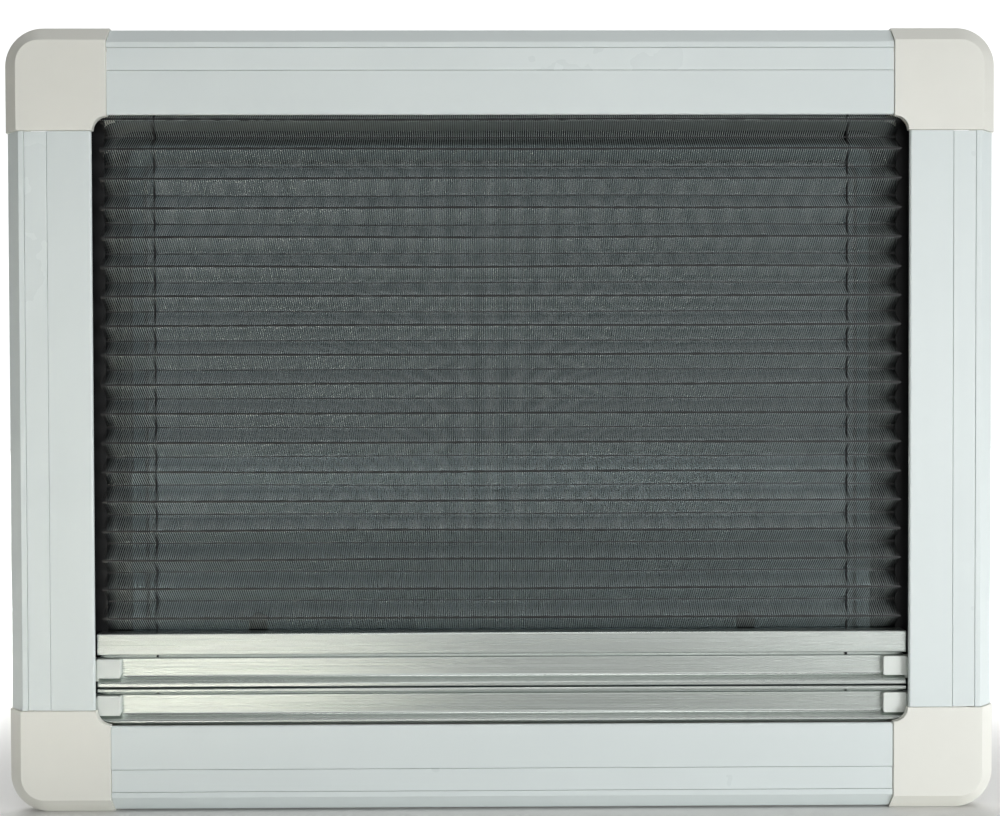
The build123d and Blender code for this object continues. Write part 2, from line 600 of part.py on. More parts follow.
def stays():
    """Two telescopic stays that lie beside the jamb while the window is shut."""
    top = OPEN_TOP - STAY_BELOW_TOP
    tube_low = top - STAY_TUBE_LENGTH
    rod_low = tube_low - STAY_ROD_LENGTH
    for sign, hand in ((-1, "left"), (1, "right")):
        x = sign * (HALF_WIDTH - STAY_INSET)
        bore = STAY_TUBE_RADIUS - STAY_TUBE_WALL
        tube = Circle(STAY_TUBE_RADIUS) - Circle(bore)
        tube_plane = Plane(origin=(x, STAY_DEPTH, tube_low))
        body = extrude(tube_plane * tube, amount=STAY_TUBE_LENGTH)
        near, far = sorted((x, sign * HALF_WIDTH))
        front, back = STAY_DEPTH - STAY_TUBE_RADIUS, STAY_DEPTH + STAY_TUBE_RADIUS
        bracket = block(near, far, front, back, top - STAY_PLATE, top)
        save("stay_tube_" + hand, body + bracket)
        rod_plane = Plane(origin=(x, STAY_DEPTH, rod_low))
        rod = extrude(rod_plane * Circle(STAY_ROD_RADIUS), amount=STAY_ROD_LENGTH + STAY_TUBE_LENGTH / 2)
        left, right = sorted((x - sign * STAY_BRACKET, x + sign * STAY_ROD_RADIUS))
        front = STAY_DEPTH - STAY_ROD_RADIUS
        rod += block(left, right, front, DISH_FRONT, rod_low, rod_low + STAY_PLATE)
        save("stay_rod_" + hand, rod)


def main():
    """Builds every piece."""
    os.makedirs("parts", exist_ok=True)
    rails = {"top": "top_rail", "bottom": "bottom_rail", "left": "left_stile", "right": "right_stile"}
    for side, name in rails.items():
        save(name, rail(side))
        save(side + "_cover_strip", cover_strip(side))
    corners()
    save("guide_channel_left", guide_channel("left"))
    save("guide_channel_right", guide_channel("right"))
    save("draw_cord_left", cord_line(-1, CORD_RADIUS))
    save("draw_cord_right", cord_line(1, CORD_RADIUS))
    save("flyscreen", flyscreen())
    save("blackout_blind", blackout_blind())
    pull_bars()
    save("outer_frame", outer_frame())
    save("pane_seal", pane_seal())
    save("outer_pane", outer_pane())
    save("inner_pane", inner_pane())
    hinge()
    catches()
    stays()


main()
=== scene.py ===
"""Looks of the caravan window: finishes, pleated cloths, draw cords, studio and camera.

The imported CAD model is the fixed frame. Its rigid nodes stay as they are and get procedural
finishes. The fly screen, the blackout cloth and the draw cords are modelled anew, as the thin
and soft things they are. All lengths are in metres: +X is right as seen from the room, +Y points
outside and +Z is up.
"""

import logging
import math
import random
from dataclasses import dataclass, field
from enum import Enum

import bmesh
import bpy
from mathutils import Matrix, Vector


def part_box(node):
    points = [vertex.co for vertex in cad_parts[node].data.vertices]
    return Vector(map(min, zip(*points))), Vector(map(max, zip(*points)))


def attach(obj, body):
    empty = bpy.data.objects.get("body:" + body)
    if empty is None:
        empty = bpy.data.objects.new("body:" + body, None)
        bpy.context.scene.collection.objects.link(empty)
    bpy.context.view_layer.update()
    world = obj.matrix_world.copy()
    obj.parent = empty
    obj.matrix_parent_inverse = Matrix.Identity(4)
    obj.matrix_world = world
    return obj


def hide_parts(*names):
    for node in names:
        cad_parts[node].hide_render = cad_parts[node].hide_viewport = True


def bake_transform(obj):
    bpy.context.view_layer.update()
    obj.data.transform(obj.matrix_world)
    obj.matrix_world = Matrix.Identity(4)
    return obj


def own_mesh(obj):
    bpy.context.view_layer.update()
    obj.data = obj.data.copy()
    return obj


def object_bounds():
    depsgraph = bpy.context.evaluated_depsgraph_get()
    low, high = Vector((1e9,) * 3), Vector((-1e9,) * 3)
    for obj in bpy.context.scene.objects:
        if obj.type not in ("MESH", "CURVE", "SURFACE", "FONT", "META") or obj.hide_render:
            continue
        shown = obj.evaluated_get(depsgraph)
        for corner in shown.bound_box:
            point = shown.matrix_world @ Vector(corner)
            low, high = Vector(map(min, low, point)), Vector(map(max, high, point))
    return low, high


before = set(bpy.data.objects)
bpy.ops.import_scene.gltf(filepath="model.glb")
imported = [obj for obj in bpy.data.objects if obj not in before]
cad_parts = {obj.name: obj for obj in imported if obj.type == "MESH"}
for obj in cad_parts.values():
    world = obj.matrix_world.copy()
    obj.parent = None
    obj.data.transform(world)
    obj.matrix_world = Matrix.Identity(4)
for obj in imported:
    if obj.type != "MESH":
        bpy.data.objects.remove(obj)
CAD_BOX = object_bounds()

LOG = logging.getLogger("caravan_window")
MM = 0.001
BAR_TRAVEL = 0.376  # how far both pull bars rise
NOISE_SPAN = (0.3, 0.7)  # where most values of a noise lie
SHARP_FOLD = math.radians(25)  # edges with a wider angle stay sharp
ROUNDING = 1e-6  # keeps a count of folds from falling one short

Socket = bpy.types.NodeSocket
Colour = tuple[float, float, float, float]


class Body(Enum):
    """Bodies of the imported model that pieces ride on."""

    FRAME = "frame"
    BLIND_BAR = "blind_bar"


class Joint(Enum):
    """Joint of the imported model for the fly screen."""

    SCREEN = "screen_slide"


class Run(Enum):
    """Direction in which an extruded piece left its die."""

    ACROSS = (1, 0, 0)
    UPRIGHT = (0, 0, 1)


def linear(code: str) -> Colour:
    """Turns an sRGB hex colour into linear light.

    Args:
        code: Colour such as "#E4E7E5".

    Returns:
        Red, green, blue and an alpha of 1.
    """
    parts = [int(code[i:i + 2], 16) / 255 for i in (1, 3, 5)]
    light = [c / 12.92 if c <= 0.04045 else ((c + 0.055) / 1.055) ** 2.4 for c in parts]
    return (light[0], light[1], light[2], 1.0)


def per_metre(size_mm: float) -> float:
    """Scale of a texture whose features are this many millimetres apart."""
    return 1 / (size_mm * MM)


def add_node(tree: bpy.types.NodeTree, kind: str, inputs: dict[str | int, object] | None = None,
             **settings: object) -> bpy.types.Node:
    """Adds a node, sets it up, and fills or links its inputs.

    Args:
        tree: Tree that gets the node.
        kind: Blender's name of the node's type.
        inputs: Values or output sockets, by the input's name or number.
        settings: Attributes of the node itself.

    Returns:
        The new node.
    """
    node = tree.nodes.new(kind)
    for name, value in settings.items():
        setattr(node, name, value)
    for key, value in (inputs or {}).items():
        if isinstance(value, Socket):
            tree.links.new(value, node.inputs[key])
        else:
            node.inputs[key].default_value = value
    return node


@dataclass(frozen=True)
class Finish:
    """A surface finish, made into a material on a Principled shader.

    Attributes:
        name: What the material is and how its surface was made.
        slot: The record's material slot; not used.
    """

    name: str
    slot: str

    def build(self) -> bpy.types.Material:
        """Makes the material.

        Returns:
            The new material.
        """
        material = bpy.data.materials.new(self.name)
        material.use_nodes = True
        tree = material.node_tree
        self.paint(tree, tree.nodes["Principled BSDF"])
        return material

    def paint(self, tree: bpy.types.NodeTree, shader: bpy.types.Node) -> None:
        """Adds the finish's nodes in front of the shader.

        Args:
            tree: The material's nodes.
            shader: Its Principled shader.
        """
        raise NotImplementedError


@dataclass(frozen=True)
class MouldedFinish(Finish):
    """Coat or moulded plastic: an even colour that drifts a little, with a fine grain in its gloss.

    Attributes:
        colour: Main colour.
        shade: Colour that the main one drifts to.
        roughness: Middle roughness of the surface.
        grain_mm: Distance between the grain's bumps.
        grain_height_mm: Height of those bumps.
        drift_mm: Size of the patches in which the colour drifts.
        smudge: How far the roughness drifts down and up.
        relief: Strength of the bumps.
    """

    colour: str = "#FFFFFF"
    shade: str = "#F0F0F0"
    roughness: float = 0.4
    grain_mm: float = 1.6
    grain_height_mm: float = 0.012
    drift_mm: float = 90.0
    smudge: tuple[float, float] = (-0.04, 0.05)
    relief: float = 0.5

    def paint(self, tree: bpy.types.NodeTree, shader: bpy.types.Node) -> None:
        """Adds drift of colour, smudged gloss and grain.

        Args:
            tree: The material's nodes.
            shader: Its Principled shader.
        """
        place = add_node(tree, "ShaderNodeTexCoord").outputs["Object"]
        drift = add_node(tree, "ShaderNodeTexNoise",
                         {"Vector": place, "Scale": per_metre(self.drift_mm), "Detail": 4.0})
        tone = add_node(tree, "ShaderNodeMix",
                        {0: drift.outputs[0], 6: linear(self.colour), 7: linear(self.shade)},
                        data_type="RGBA")
        grain = add_node(tree, "ShaderNodeTexNoise",
                         {"Vector": place, "Scale": per_metre(self.grain_mm), "Detail": 2.0,
                          "Roughness": 0.4})
        gloss = add_node(tree, "ShaderNodeMapRange",
                         {0: drift.outputs[0], 1: NOISE_SPAN[0], 2: NOISE_SPAN[1],
                          3: self.roughness + self.smudge[0], 4: self.roughness + self.smudge[1]})
        bump = add_node(tree, "ShaderNodeBump",
                        {"Strength": self.relief, "Distance": self.grain_height_mm * MM,
                         "Height": grain.outputs[0]})
        tree.links.new(tone.outputs[2], shader.inputs["Base Color"])
        tree.links.new(gloss.outputs[0], shader.inputs["Roughness"])
        tree.links.new(bump.outputs[0], shader.inputs["Normal"])


@dataclass(frozen=True)
class ExtrudedMetal(Finish):
    """Metal drawn through a die: long fine lines along its run, and a satin gloss between them.

    Attributes:
        colour: Colour of the bare or anodised metal.
        shade: Colour inside the die lines.
        run: Direction of the die lines.
        roughness: Middle roughness of the surface.
        line_mm: Distance between die lines, drawn coarser than real so that they show.
        line_length_mm: Length after which a line fades.
        line_height_mm: Depth of the lines.
        polish: How far the roughness drifts down and up from line to line.
        relief: Strength of the lines in the relief.
    """

    colour: str = "#D2D3D0"
    shade: str = "#BFC1BE"
    run: Run = Run.ACROSS
    roughness: float = 0.3
    line_mm: float = 0.9
    line_length_mm: float = 400.0
    line_height_mm: float = 0.004
    polish: tuple[float, float] = (-0.05, 0.06)
    relief: float = 0.4

    def paint(self, tree: bpy.types.NodeTree, shader: bpy.types.Node) -> None:
        """Adds die lines to the colour, the gloss and the relief.

        Args:
            tree: The material's nodes.
            shader: Its Principled shader.
        """
        place = add_node(tree, "ShaderNodeTexCoord").outputs["Object"]
        along, around = per_metre(self.line_length_mm), per_metre(self.line_mm)
        stretch = [along if part else around for part in self.run.value]
        mapped = add_node(tree, "ShaderNodeMapping", {"Vector": place, "Scale": stretch})
        lines = add_node(tree, "ShaderNodeTexNoise",
                         {"Vector": mapped.outputs[0], "Scale": 1.0, "Detail": 3.0, "Roughness": 0.6})
        tone = add_node(tree, "ShaderNodeMix",
                        {0: lines.outputs[0], 6: linear(self.colour), 7: linear(self.shade)},
                        data_type="RGBA")
        gloss = add_node(tree, "ShaderNodeMapRange",
                         {0: lines.outputs[0], 1: NOISE_SPAN[0], 2: NOISE_SPAN[1],
                          3: self.roughness + self.polish[0], 4: self.roughness + self.polish[1]})
        bump = add_node(tree, "ShaderNodeBump",
                        {"Strength": self.relief, "Distance": self.line_height_mm * MM,
                         "Height": lines.outputs[0]})
        tree.links.new(tone.outputs[2], shader.inputs["Base Color"])
        tree.links.new(gloss.outputs[0], shader.inputs["Roughness"])
        tree.links.new(bump.outputs[0], shader.inputs["Normal"])
        shader.inputs["Metallic"].default_value = 1.0


@dataclass(frozen=True)
class ScreenMesh(Finish):
    """Woven polyester fly mesh: dark threads, the upright ones painted light grey as a highlight, with
    clear slots between them, pressed dense at the folds.

    Attributes:
        warp: Colour of the threads that run up the cloth: a light grey painted as the highlight they catch,
            over the threads' own dark.
        weft: Colour of the threads across it.
        crease: Colour of the pressed folds, also used for the painted shade beside the side edges and the
            painted shadow along the cords.
        pitch_mm: Distance between the threads that run up.
        warp_mm: Thickness of those threads.
        weft_pitch_mm: Distance between the threads across.
        weft_mm: Thickness of those.
        crease_mm: Width of the dense line at a front fold, which a rear fold has half of.
        fold_mm: Length of cloth between two folds.
        width_mm: Width of the cloth.
        patch_mm: Width of the patches in which the folds are pressed more or less.
        patch_length_mm: Length of those patches.
        patch_span: Values of the patches' noise between which the pressing changes.
        pressing: How much narrower and wider than usual the folds get from patch to patch.
        edge_shade_mm: Width of the painted shade beside the side edges, where the stiles shade the cloth.
        edge_shade_full: Share of those bands that is quite dark.
        cord_mm: Distance of each draw cord, and of the painted shadow line along it, from the nearer side
            edge.
        cord_shadow_share: Share of that painted shadow that is left at a front fold, away from the cord.
        hole_mm: Width of the holes punched for the cords.
        hole_length_mm: Length of those holes along the cloth.
        hole_centre_mm: Distance from a rear fold to the middle of a hole.
        roughness: Roughness of the threads.
    """

    # Painted highlight: the light grey of the upright threads.
    warp: str = "#6E7674"
    weft: str = "#181B1B"
    crease: str = "#070808"
    pitch_mm: float = 1.6
    warp_mm: float = 0.72
    weft_pitch_mm: float = 1.1
    weft_mm: float = 0.16
    crease_mm: float = 2.4
    fold_mm: float = 17.627
    width_mm: float = 585.0
    patch_mm: float = 9.0
    patch_length_mm: float = 90.0
    patch_span: tuple[float, float] = (0.35, 0.65)
    pressing: tuple[float, float] = (0.8, 1.25)
    # Painted shade beside the side edges, darkest at the edge.
    edge_shade_mm: float = 8.0
    edge_shade_full: float = 0.2
    # Painted shadow: a dark line along each draw cord.
    cord_mm: float = 37.5
    cord_shadow_share: float = 0.25
    hole_mm: float = 1.7
    hole_length_mm: float = 7.5
    hole_centre_mm: float = 5.2
    roughness: float = 0.5

    def paint(self, tree: bpy.types.NodeTree, shader: bpy.types.Node) -> None:
        """Adds the two sets of threads and the folds, and opens the surface between them.

        Args:
            tree: The material's nodes.
            shader: Its Principled shader.
        """
        cloth = add_node(tree, "ShaderNodeUVMap", uv_map="cloth").outputs[0]
        across, along, _ = add_node(tree, "ShaderNodeSeparateXYZ", {0: cloth}).outputs
        fold, front_half = self.fold_mm * MM, self.crease_mm * MM / 2
        scale = (per_metre(self.patch_mm), per_metre(self.patch_length_mm), 1.0)
        stretch = add_node(tree, "ShaderNodeMapping", {"Vector": cloth, "Scale": scale})
        patchy = add_node(tree, "ShaderNodeTexNoise",
                          {"Vector": stretch.outputs[0], "Scale": 1.0, "Detail": 2.0})
        from_rear = add_node(tree, "ShaderNodeMath", {0: along, 1: fold}, operation="PINGPONG")
        dense = add_node(tree, "ShaderNodeMapRange",
                         {0: from_rear.outputs[0], 1: 0.0, 2: fold, 3: front_half / 2, 4: front_half})
        uneven = add_node(tree, "ShaderNodeMapRange",
                          {0: patchy.outputs[0], 1: self.patch_span[0], 2: self.patch_span[1],
                           3: self.pressing[0], 4: self.pressing[1]})
        pressed = add_node(tree, "ShaderNodeMath", {0: dense.outputs[0], 1: uneven.outputs[0]},
                           operation="MULTIPLY")
        lines = []
        for way, pitch, limit in ((across, self.pitch_mm, self.warp_mm * MM / 2),
                                  (along, self.weft_pitch_mm, self.weft_mm * MM / 2),
                                  (along, self.fold_mm, pressed.outputs[0])):
            swing = add_node(tree, "ShaderNodeMath", {0: way, 1: pitch * MM / 2}, operation="PINGPONG")
            lines.append(add_node(tree, "ShaderNodeMath", {0: swing.outputs[0], 1: limit},
                                  operation="LESS_THAN").outputs[0])
        warp, weft, folds = lines
        woven = add_node(tree, "ShaderNodeMath", {0: warp, 1: weft}, operation="MAXIMUM")
        cover = add_node(tree, "ShaderNodeMath", {0: woven.outputs[0], 1: folds}, operation="MAXIMUM")
        # Painted highlight: the upright threads take the light warp grey, and the threads across keep the
        # dark weft.
        threads = add_node(tree, "ShaderNodeMix",
                           {0: warp, 6: linear(self.weft), 7: linear(self.warp)}, data_type="RGBA")
        inwards = add_node(tree, "ShaderNodeMath", {0: across, 1: self.width_mm * MM / 2},
                           operation="PINGPONG")
        # Painted shade: the bands beside the side edges turn to the crease colour, darkest at the edge.
        edge_shade = add_node(tree, "ShaderNodeMapRange",
                          {0: inwards.outputs[0], 1: self.edge_shade_full * self.edge_shade_mm * MM, 2: self.edge_shade_mm * MM,
                           3: 1.0, 4: 0.0})
        beside = add_node(tree, "ShaderNodeMath",
                          {0: inwards.outputs[0], 1: self.cord_mm * MM, 2: self.hole_mm * MM / 2},
                          operation="COMPARE")
        # Painted shadow of each draw cord: a dark line along its path that fades towards each front fold.
        near_cord = add_node(tree, "ShaderNodeMapRange",
                             {0: from_rear.outputs[0], 1: fold / 2, 2: fold, 3: 1.0, 4: self.cord_shadow_share})
        cord_shadow = add_node(tree, "ShaderNodeMath", {0: beside.outputs[0], 1: near_cord.outputs[0]},
                          operation="MULTIPLY")
        # Painted shade beside the side edges and painted shadow along the cords, together.
        darkened = add_node(tree, "ShaderNodeMath", {0: edge_shade.outputs[0], 1: cord_shadow.outputs[0]},
                        operation="MAXIMUM")
        dark = add_node(tree, "ShaderNodeMath", {0: folds, 1: darkened.outputs[0]}, operation="MAXIMUM")
        tone = add_node(tree, "ShaderNodeMix",
                        {0: dark.outputs[0], 6: threads.outputs[2], 7: linear(self.crease)},
                        data_type="RGBA")
        lengthwise = add_node(tree, "ShaderNodeMath",
                              {0: from_rear.outputs[0], 1: self.hole_centre_mm * MM,
                               2: self.hole_length_mm * MM / 2}, operation="COMPARE")
        hole = add_node(tree, "ShaderNodeMath", {0: beside.outputs[0], 1: lengthwise.outputs[0]},
                        operation="MULTIPLY")
        cloth_left = add_node(tree, "ShaderNodeMath", {0: cover.outputs[0], 1: hole.outputs[0]},
                              operation="SUBTRACT", use_clamp=True)
        tree.links.new(tone.outputs[2], shader.inputs["Base Color"])
        tree.links.new(cloth_left.outputs[0], shader.inputs["Alpha"])
        shader.inputs["Roughness"].default_value = self.roughness


@dataclass(frozen=True)
class CoatedCloth(Finish):
    """Non-woven blackout cloth with a rubbed-on coat: matt, faintly fibrous, darker along the folds.

    Attributes:
        colour: Colour of the cloth.
        crease: Colour along the folds.
        fold_mm: Length of cloth between two folds.
        fold_line_mm: Width of the darker line beside a fold.
        fold_darkening: How far the colour turns to the crease's there.
        mottle: How far it turns between the fibres.
        fibre_mm: Distance between fibres, drawn coarser than real so that they show.
        fibre_span: Values of the fibres' noise between which the colour turns.
        fibre_height_mm: Height of the fibres.
        relief: Strength of the fibres in the relief.
        roughness: Roughness of the cloth.
    """

    colour: str = "#DAD5C8"
    crease: str = "#B9B3A6"
    fold_mm: float = 14.0
    fold_line_mm: float = 1.2
    fold_darkening: float = 0.8
    mottle: float = 0.25
    fibre_mm: float = 0.7
    fibre_span: tuple[float, float] = (0.35, 0.75)
    fibre_height_mm: float = 0.05
    relief: float = 0.3
    roughness: float = 0.85

    def paint(self, tree: bpy.types.NodeTree, shader: bpy.types.Node) -> None:
        """Adds fibres and the wear along each fold.

        Args:
            tree: The material's nodes.
            shader: Its Principled shader.
        """
        cloth = add_node(tree, "ShaderNodeUVMap", uv_map="cloth")
        fibres = add_node(tree, "ShaderNodeTexNoise",
                          {"Vector": cloth.outputs[0], "Scale": per_metre(self.fibre_mm), "Detail": 5.0,
                           "Distortion": 1.5})
        parts = add_node(tree, "ShaderNodeSeparateXYZ", {0: cloth.outputs[0]})
        near = add_node(tree, "ShaderNodeMath", {0: parts.outputs[1], 1: self.fold_mm * MM / 2},
                        operation="PINGPONG")
        darkened = add_node(tree, "ShaderNodeMapRange",
                        {0: near.outputs[0], 1: 0.0, 2: self.fold_line_mm * MM, 3: self.fold_darkening, 4: 0.0})
        mottled = add_node(tree, "ShaderNodeMapRange",
                           {0: fibres.outputs[0], 1: self.fibre_span[0], 2: self.fibre_span[1],
                            3: 0.0, 4: self.mottle})
        shaded = add_node(tree, "ShaderNodeMath", {0: darkened.outputs[0], 1: mottled.outputs[0]},
                          operation="MAXIMUM")
        tone = add_node(tree, "ShaderNodeMix",
                        {0: shaded.outputs[0], 6: linear(self.colour), 7: linear(self.crease)},
                        data_type="RGBA")
        bump = add_node(tree, "ShaderNodeBump",
                        {"Strength": self.relief, "Distance": self.fibre_height_mm * MM,
                         "Height": fibres.outputs[0]})
        tree.links.new(tone.outputs[2], shader.inputs["Base Color"])
        tree.links.new(bump.outputs[0], shader.inputs["Normal"])
        shader.inputs["Roughness"].default_value = self.roughness


@dataclass(frozen=True)
class TintedAcrylic(Finish):
    """Cast acrylic sheet, tinted through: clear and glossy, with hairline wipe marks.

    Attributes:
        tint: Colour that a sheet lets through.
        mark_mm: Distance between wipe marks.
        mark_length_mm: Length of a wipe mark.
        mark_tilt: Angle of the wipe marks in radians.
        mark_span: Values of the marks' noise between which the roughness changes.
        polish: Roughness between the wipe marks and in them.
        ior: Refractive index of acrylic.
        coat: Weight of the hard coat on its faces.
        coat_roughness: Roughness of that coat.
        coat_ior: Refractive index of that coat.
    """

    tint: str = "#7B8486"
    mark_mm: float = 1.2
    mark_length_mm: float = 60.0
    mark_tilt: float = 0.3
    mark_span: tuple[float, float] = (0.45, 0.75)
    polish: tuple[float, float] = (0.02, 0.09)
    ior: float = 1.49
    coat: float = 0.15
    coat_roughness: float = 0.03
    coat_ior: float = 1.6

    def paint(self, tree: bpy.types.NodeTree, shader: bpy.types.Node) -> None:
        """Adds the tint and the wipe marks in the gloss.

        Args:
            tree: The material's nodes.
            shader: Its Principled shader.
        """
        place = add_node(tree, "ShaderNodeTexCoord").outputs["Object"]
        length = per_metre(self.mark_length_mm)
        mapped = add_node(tree, "ShaderNodeMapping",
                          {"Vector": place, "Rotation": (0.0, self.mark_tilt, 0.0),
                           "Scale": (length, length, per_metre(self.mark_mm))})
        marks = add_node(tree, "ShaderNodeTexNoise",
                         {"Vector": mapped.outputs[0], "Scale": 1.0, "Detail": 3.0})
        gloss = add_node(tree, "ShaderNodeMapRange",
                         {0: marks.outputs[0], 1: self.mark_span[0], 2: self.mark_span[1],
                          3: self.polish[0], 4: self.polish[1]})
        tree.links.new(gloss.outputs[0], shader.inputs["Roughness"])
        shader.inputs["Base Color"].default_value = linear(self.tint)
        shader.inputs["Transmission Weight"].default_value = 1.0
        shader.inputs["IOR"].default_value = self.ior
        shader.inputs["Coat Weight"].default_value = self.coat
        shader.inputs["Coat Roughness"].default_value = self.coat_roughness
        shader.inputs["Coat IOR"].default_value = self.coat_ior


# A thin coat over smooth aluminium: even, cool white with a satin gloss and the faintest orange peel.
RAIL_COAT = MouldedFinish("White powder coat on aluminium", "white_rail", "#DEE6E4", "#D8E0DE",
                          roughness=0.36, grain_mm=1.6, grain_height_mm=0.012, drift_mm=120.0)
# Die-smooth plastic: the rails' white with a little more gloss, so that the strip reads as its own piece.
STRIP_PLASTIC = MouldedFinish("White extruded PVC", "cover_strip", "#DFE7E5", "#D9E1DF",
                              roughness=0.3, grain_mm=2.4, grain_height_mm=0.008, drift_mm=70.0)
# Fine mould grain: a warmer, more matt white than the metal beside it.
CORNER_ABS = MouldedFinish("Off-white moulded ABS", "corner_plastic", "#E9E9E0", "#E3E3DA",
                           roughness=0.42, grain_mm=0.8, grain_height_mm=0.012, drift_mm=40.0)
# Grained black plastic: it swallows the light in the guides and shows only a dull edge.
BLACK_NYLON = MouldedFinish("Black moulded nylon", "black_plastic", "#141516", "#1B1C1D",
                            roughness=0.5, grain_mm=0.7, grain_height_mm=0.015, drift_mm=25.0)
# Fine mould grain: a quiet light grey, a shade below the corner blocks.
CAP_PLASTIC = MouldedFinish("Light grey moulded ABS", "cap_plastic", "#DFE4DE", "#D8DDD7",
                            roughness=0.4, grain_mm=0.8, grain_height_mm=0.012, drift_mm=20.0)
# A coarser coat: near black with a dull sheen, so that the wall frame drops back behind the mesh.
OUTER_COAT = MouldedFinish("Black powder coat on aluminium", "outer_frame", "#0F1011", "#161718",
                           roughness=0.55, grain_mm=1.2, grain_height_mm=0.02, drift_mm=80.0)
# Rubber bloom: soft black without gloss.
SEAL_RUBBER = MouldedFinish("Black EPDM rubber", "rubber", "#101112", "#191A1A",
                            roughness=0.75, grain_mm=0.6, grain_height_mm=0.02, drift_mm=30.0)
# Spun fibres: dry black with a fuzzy face.
CORD_POLYESTER = MouldedFinish("Black spun polyester", "cord", "#0E0F0F", "#1D1E1E",
                               roughness=0.8, grain_mm=0.3, grain_height_mm=0.05, drift_mm=2.0)
# Die lines under clear anodising: long silver streaks that mirror the floor as soft bands.
BAR_METAL = ExtrudedMetal("Satin anodised aluminium", "bar_aluminium", "#CDD3CF", "#C3C9C5",
                          roughness=0.26, line_mm=0.9, line_height_mm=0.0025)
# Die lines under dyed anodising: the same streaks, nearly black.
HINGE_METAL = ExtrudedMetal("Black anodised aluminium", "hinge_aluminium", "#2B2C2E", "#1E1F20",
                            roughness=0.35, line_mm=0.8)
# Drawn tube under dark plating: charcoal with a short grain along the tube.
STAY_METAL = ExtrudedMetal("Black zinc-plated steel", "stay_metal", "#303234", "#242628", run=Run.UPRIGHT,
                           roughness=0.38, line_mm=0.6, line_length_mm=60.0)
# Woven threads: dark, with a painted highlight that turns the upright ones grey, over dark gaps, which beat
# into soft ripples from pleat to pleat.
FLY_MESH = ScreenMesh("Woven polyester fly mesh", "fly_mesh")
# Pressed fibres with a rubbed-on coat: quite matt cream, darker along the folds.
BLIND_CLOTH = CoatedCloth("Cream blackout cloth", "blackout_cloth")
# Cast, smoked through and thinly coated: some grey daylight comes through, and its face mirrors faintly.
SMOKED_ACRYLIC = TintedAcrylic("Smoked acrylic sheet", "acrylic")


class Wardrobe:
    """Keeps one material for each finish, so that pieces share it."""

    def __init__(self) -> None:
        """Starts with no material made."""
        self._made: dict[Finish, bpy.types.Material] = {}

    def material(self, finish: Finish) -> bpy.types.Material:
        """Makes a finish's material, or finds the one made before.

        Args:
            finish: The finish to look up.

        Returns:
            Its material.
        """
        if finish not in self._made:
            self._made[finish] = finish.build()
        return self._made[finish]

    def dress_node(self, node: str, finish: Finish) -> None:
        """Gives a CAD node a finish in place of its plain colour.

        Args:
            node: Name of the node.
            finish: What it is made of.
        """
        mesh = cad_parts[node].data
        mesh.materials.clear()
        mesh.materials.append(self.material(finish))
        LOG.info("dressed %s in %s", node, finish.name)


def finish_mesh(work: bmesh.types.BMesh, name: str) -> bpy.types.Object:
    """Turns a bmesh into an object at the origin.

    Args:
        work: The bmesh, which is freed.
        name: Name of the piece.

    Returns:
        The new object, in the scene.
    """
    mesh = bpy.data.meshes.new(name)
    work.to_mesh(mesh)
    work.free()
    piece = bpy.data.objects.new(name, mesh)
    bpy.context.scene.collection.objects.link(piece)
    return piece


@dataclass
class TrimFrame:
    """White inner frame: rails, clip-in strips, corner blocks and the black guides behind them."""

    rails: tuple[str, ...] = ("top_rail", "bottom_rail", "left_stile", "right_stile")
    sides: tuple[str, ...] = ("top", "bottom", "left", "right")
    corners: tuple[str, ...] = ("top_left", "top_right", "bottom_left", "bottom_right")
    guides: tuple[str, ...] = ("guide_channel_left", "guide_channel_right")

    def dress(self, wardrobe: Wardrobe) -> None:
        """Gives each piece its finish.

        Args:
            wardrobe: Where the materials are kept.
        """
        for rail in self.rails:
            wardrobe.dress_node(rail, RAIL_COAT)
        for side in self.sides:
            wardrobe.dress_node(f"{side}_cover_strip", STRIP_PLASTIC)
        for corner in self.corners:
            wardrobe.dress_node(f"corner_{corner}", CORNER_ABS)
        for guide in self.guides:
            wardrobe.dress_node(guide, BLACK_NYLON)


@dataclass
class PullBars:
    """The two aluminium bars and their plastic end caps."""

    bars: tuple[str, ...] = ("screen_pull_bar", "blind_pull_bar")
    caps: tuple[str, ...] = ("screen_bar_cap_left", "screen_bar_cap_right",
                             "blind_bar_cap_left", "blind_bar_cap_right")

    def dress(self, wardrobe: Wardrobe) -> None:
        """Gives bars and caps their finishes.

        Args:
            wardrobe: Where the materials are kept.
        """
        for bar in self.bars:
            wardrobe.dress_node(bar, BAR_METAL)
        for cap in self.caps:
            wardrobe.dress_node(cap, CAP_PLASTIC)


@dataclass
class OuterWindow:
    """Outer frame with the double pane, its seal, hinge, catches and stays."""

    panes: tuple[str, ...] = ("outer_pane", "inner_pane")
    hinges: tuple[str, ...] = ("hinge_rail", "hinge_strip")
    catch_pieces: tuple[str, ...] = ("catch_base", "catch_lever", "catch_keeper")
    stay_pieces: tuple[str, ...] = ("stay_tube", "stay_rod")

    def dress(self, wardrobe: Wardrobe) -> None:
        """Gives each piece its finish.

        Args:
            wardrobe: Where the materials are kept.
        """
        wardrobe.dress_node("outer_frame", OUTER_COAT)
        wardrobe.dress_node("pane_seal", SEAL_RUBBER)
        for pane in self.panes:
            wardrobe.dress_node(pane, SMOKED_ACRYLIC)
        for hinge in self.hinges:
            wardrobe.dress_node(hinge, HINGE_METAL)
        for hand in ("left", "right"):
            for piece in self.catch_pieces:
                wardrobe.dress_node(f"{piece}_{hand}", BLACK_NYLON)
            for piece in self.stay_pieces:
                wardrobe.dress_node(f"{piece}_{hand}", STAY_METAL)


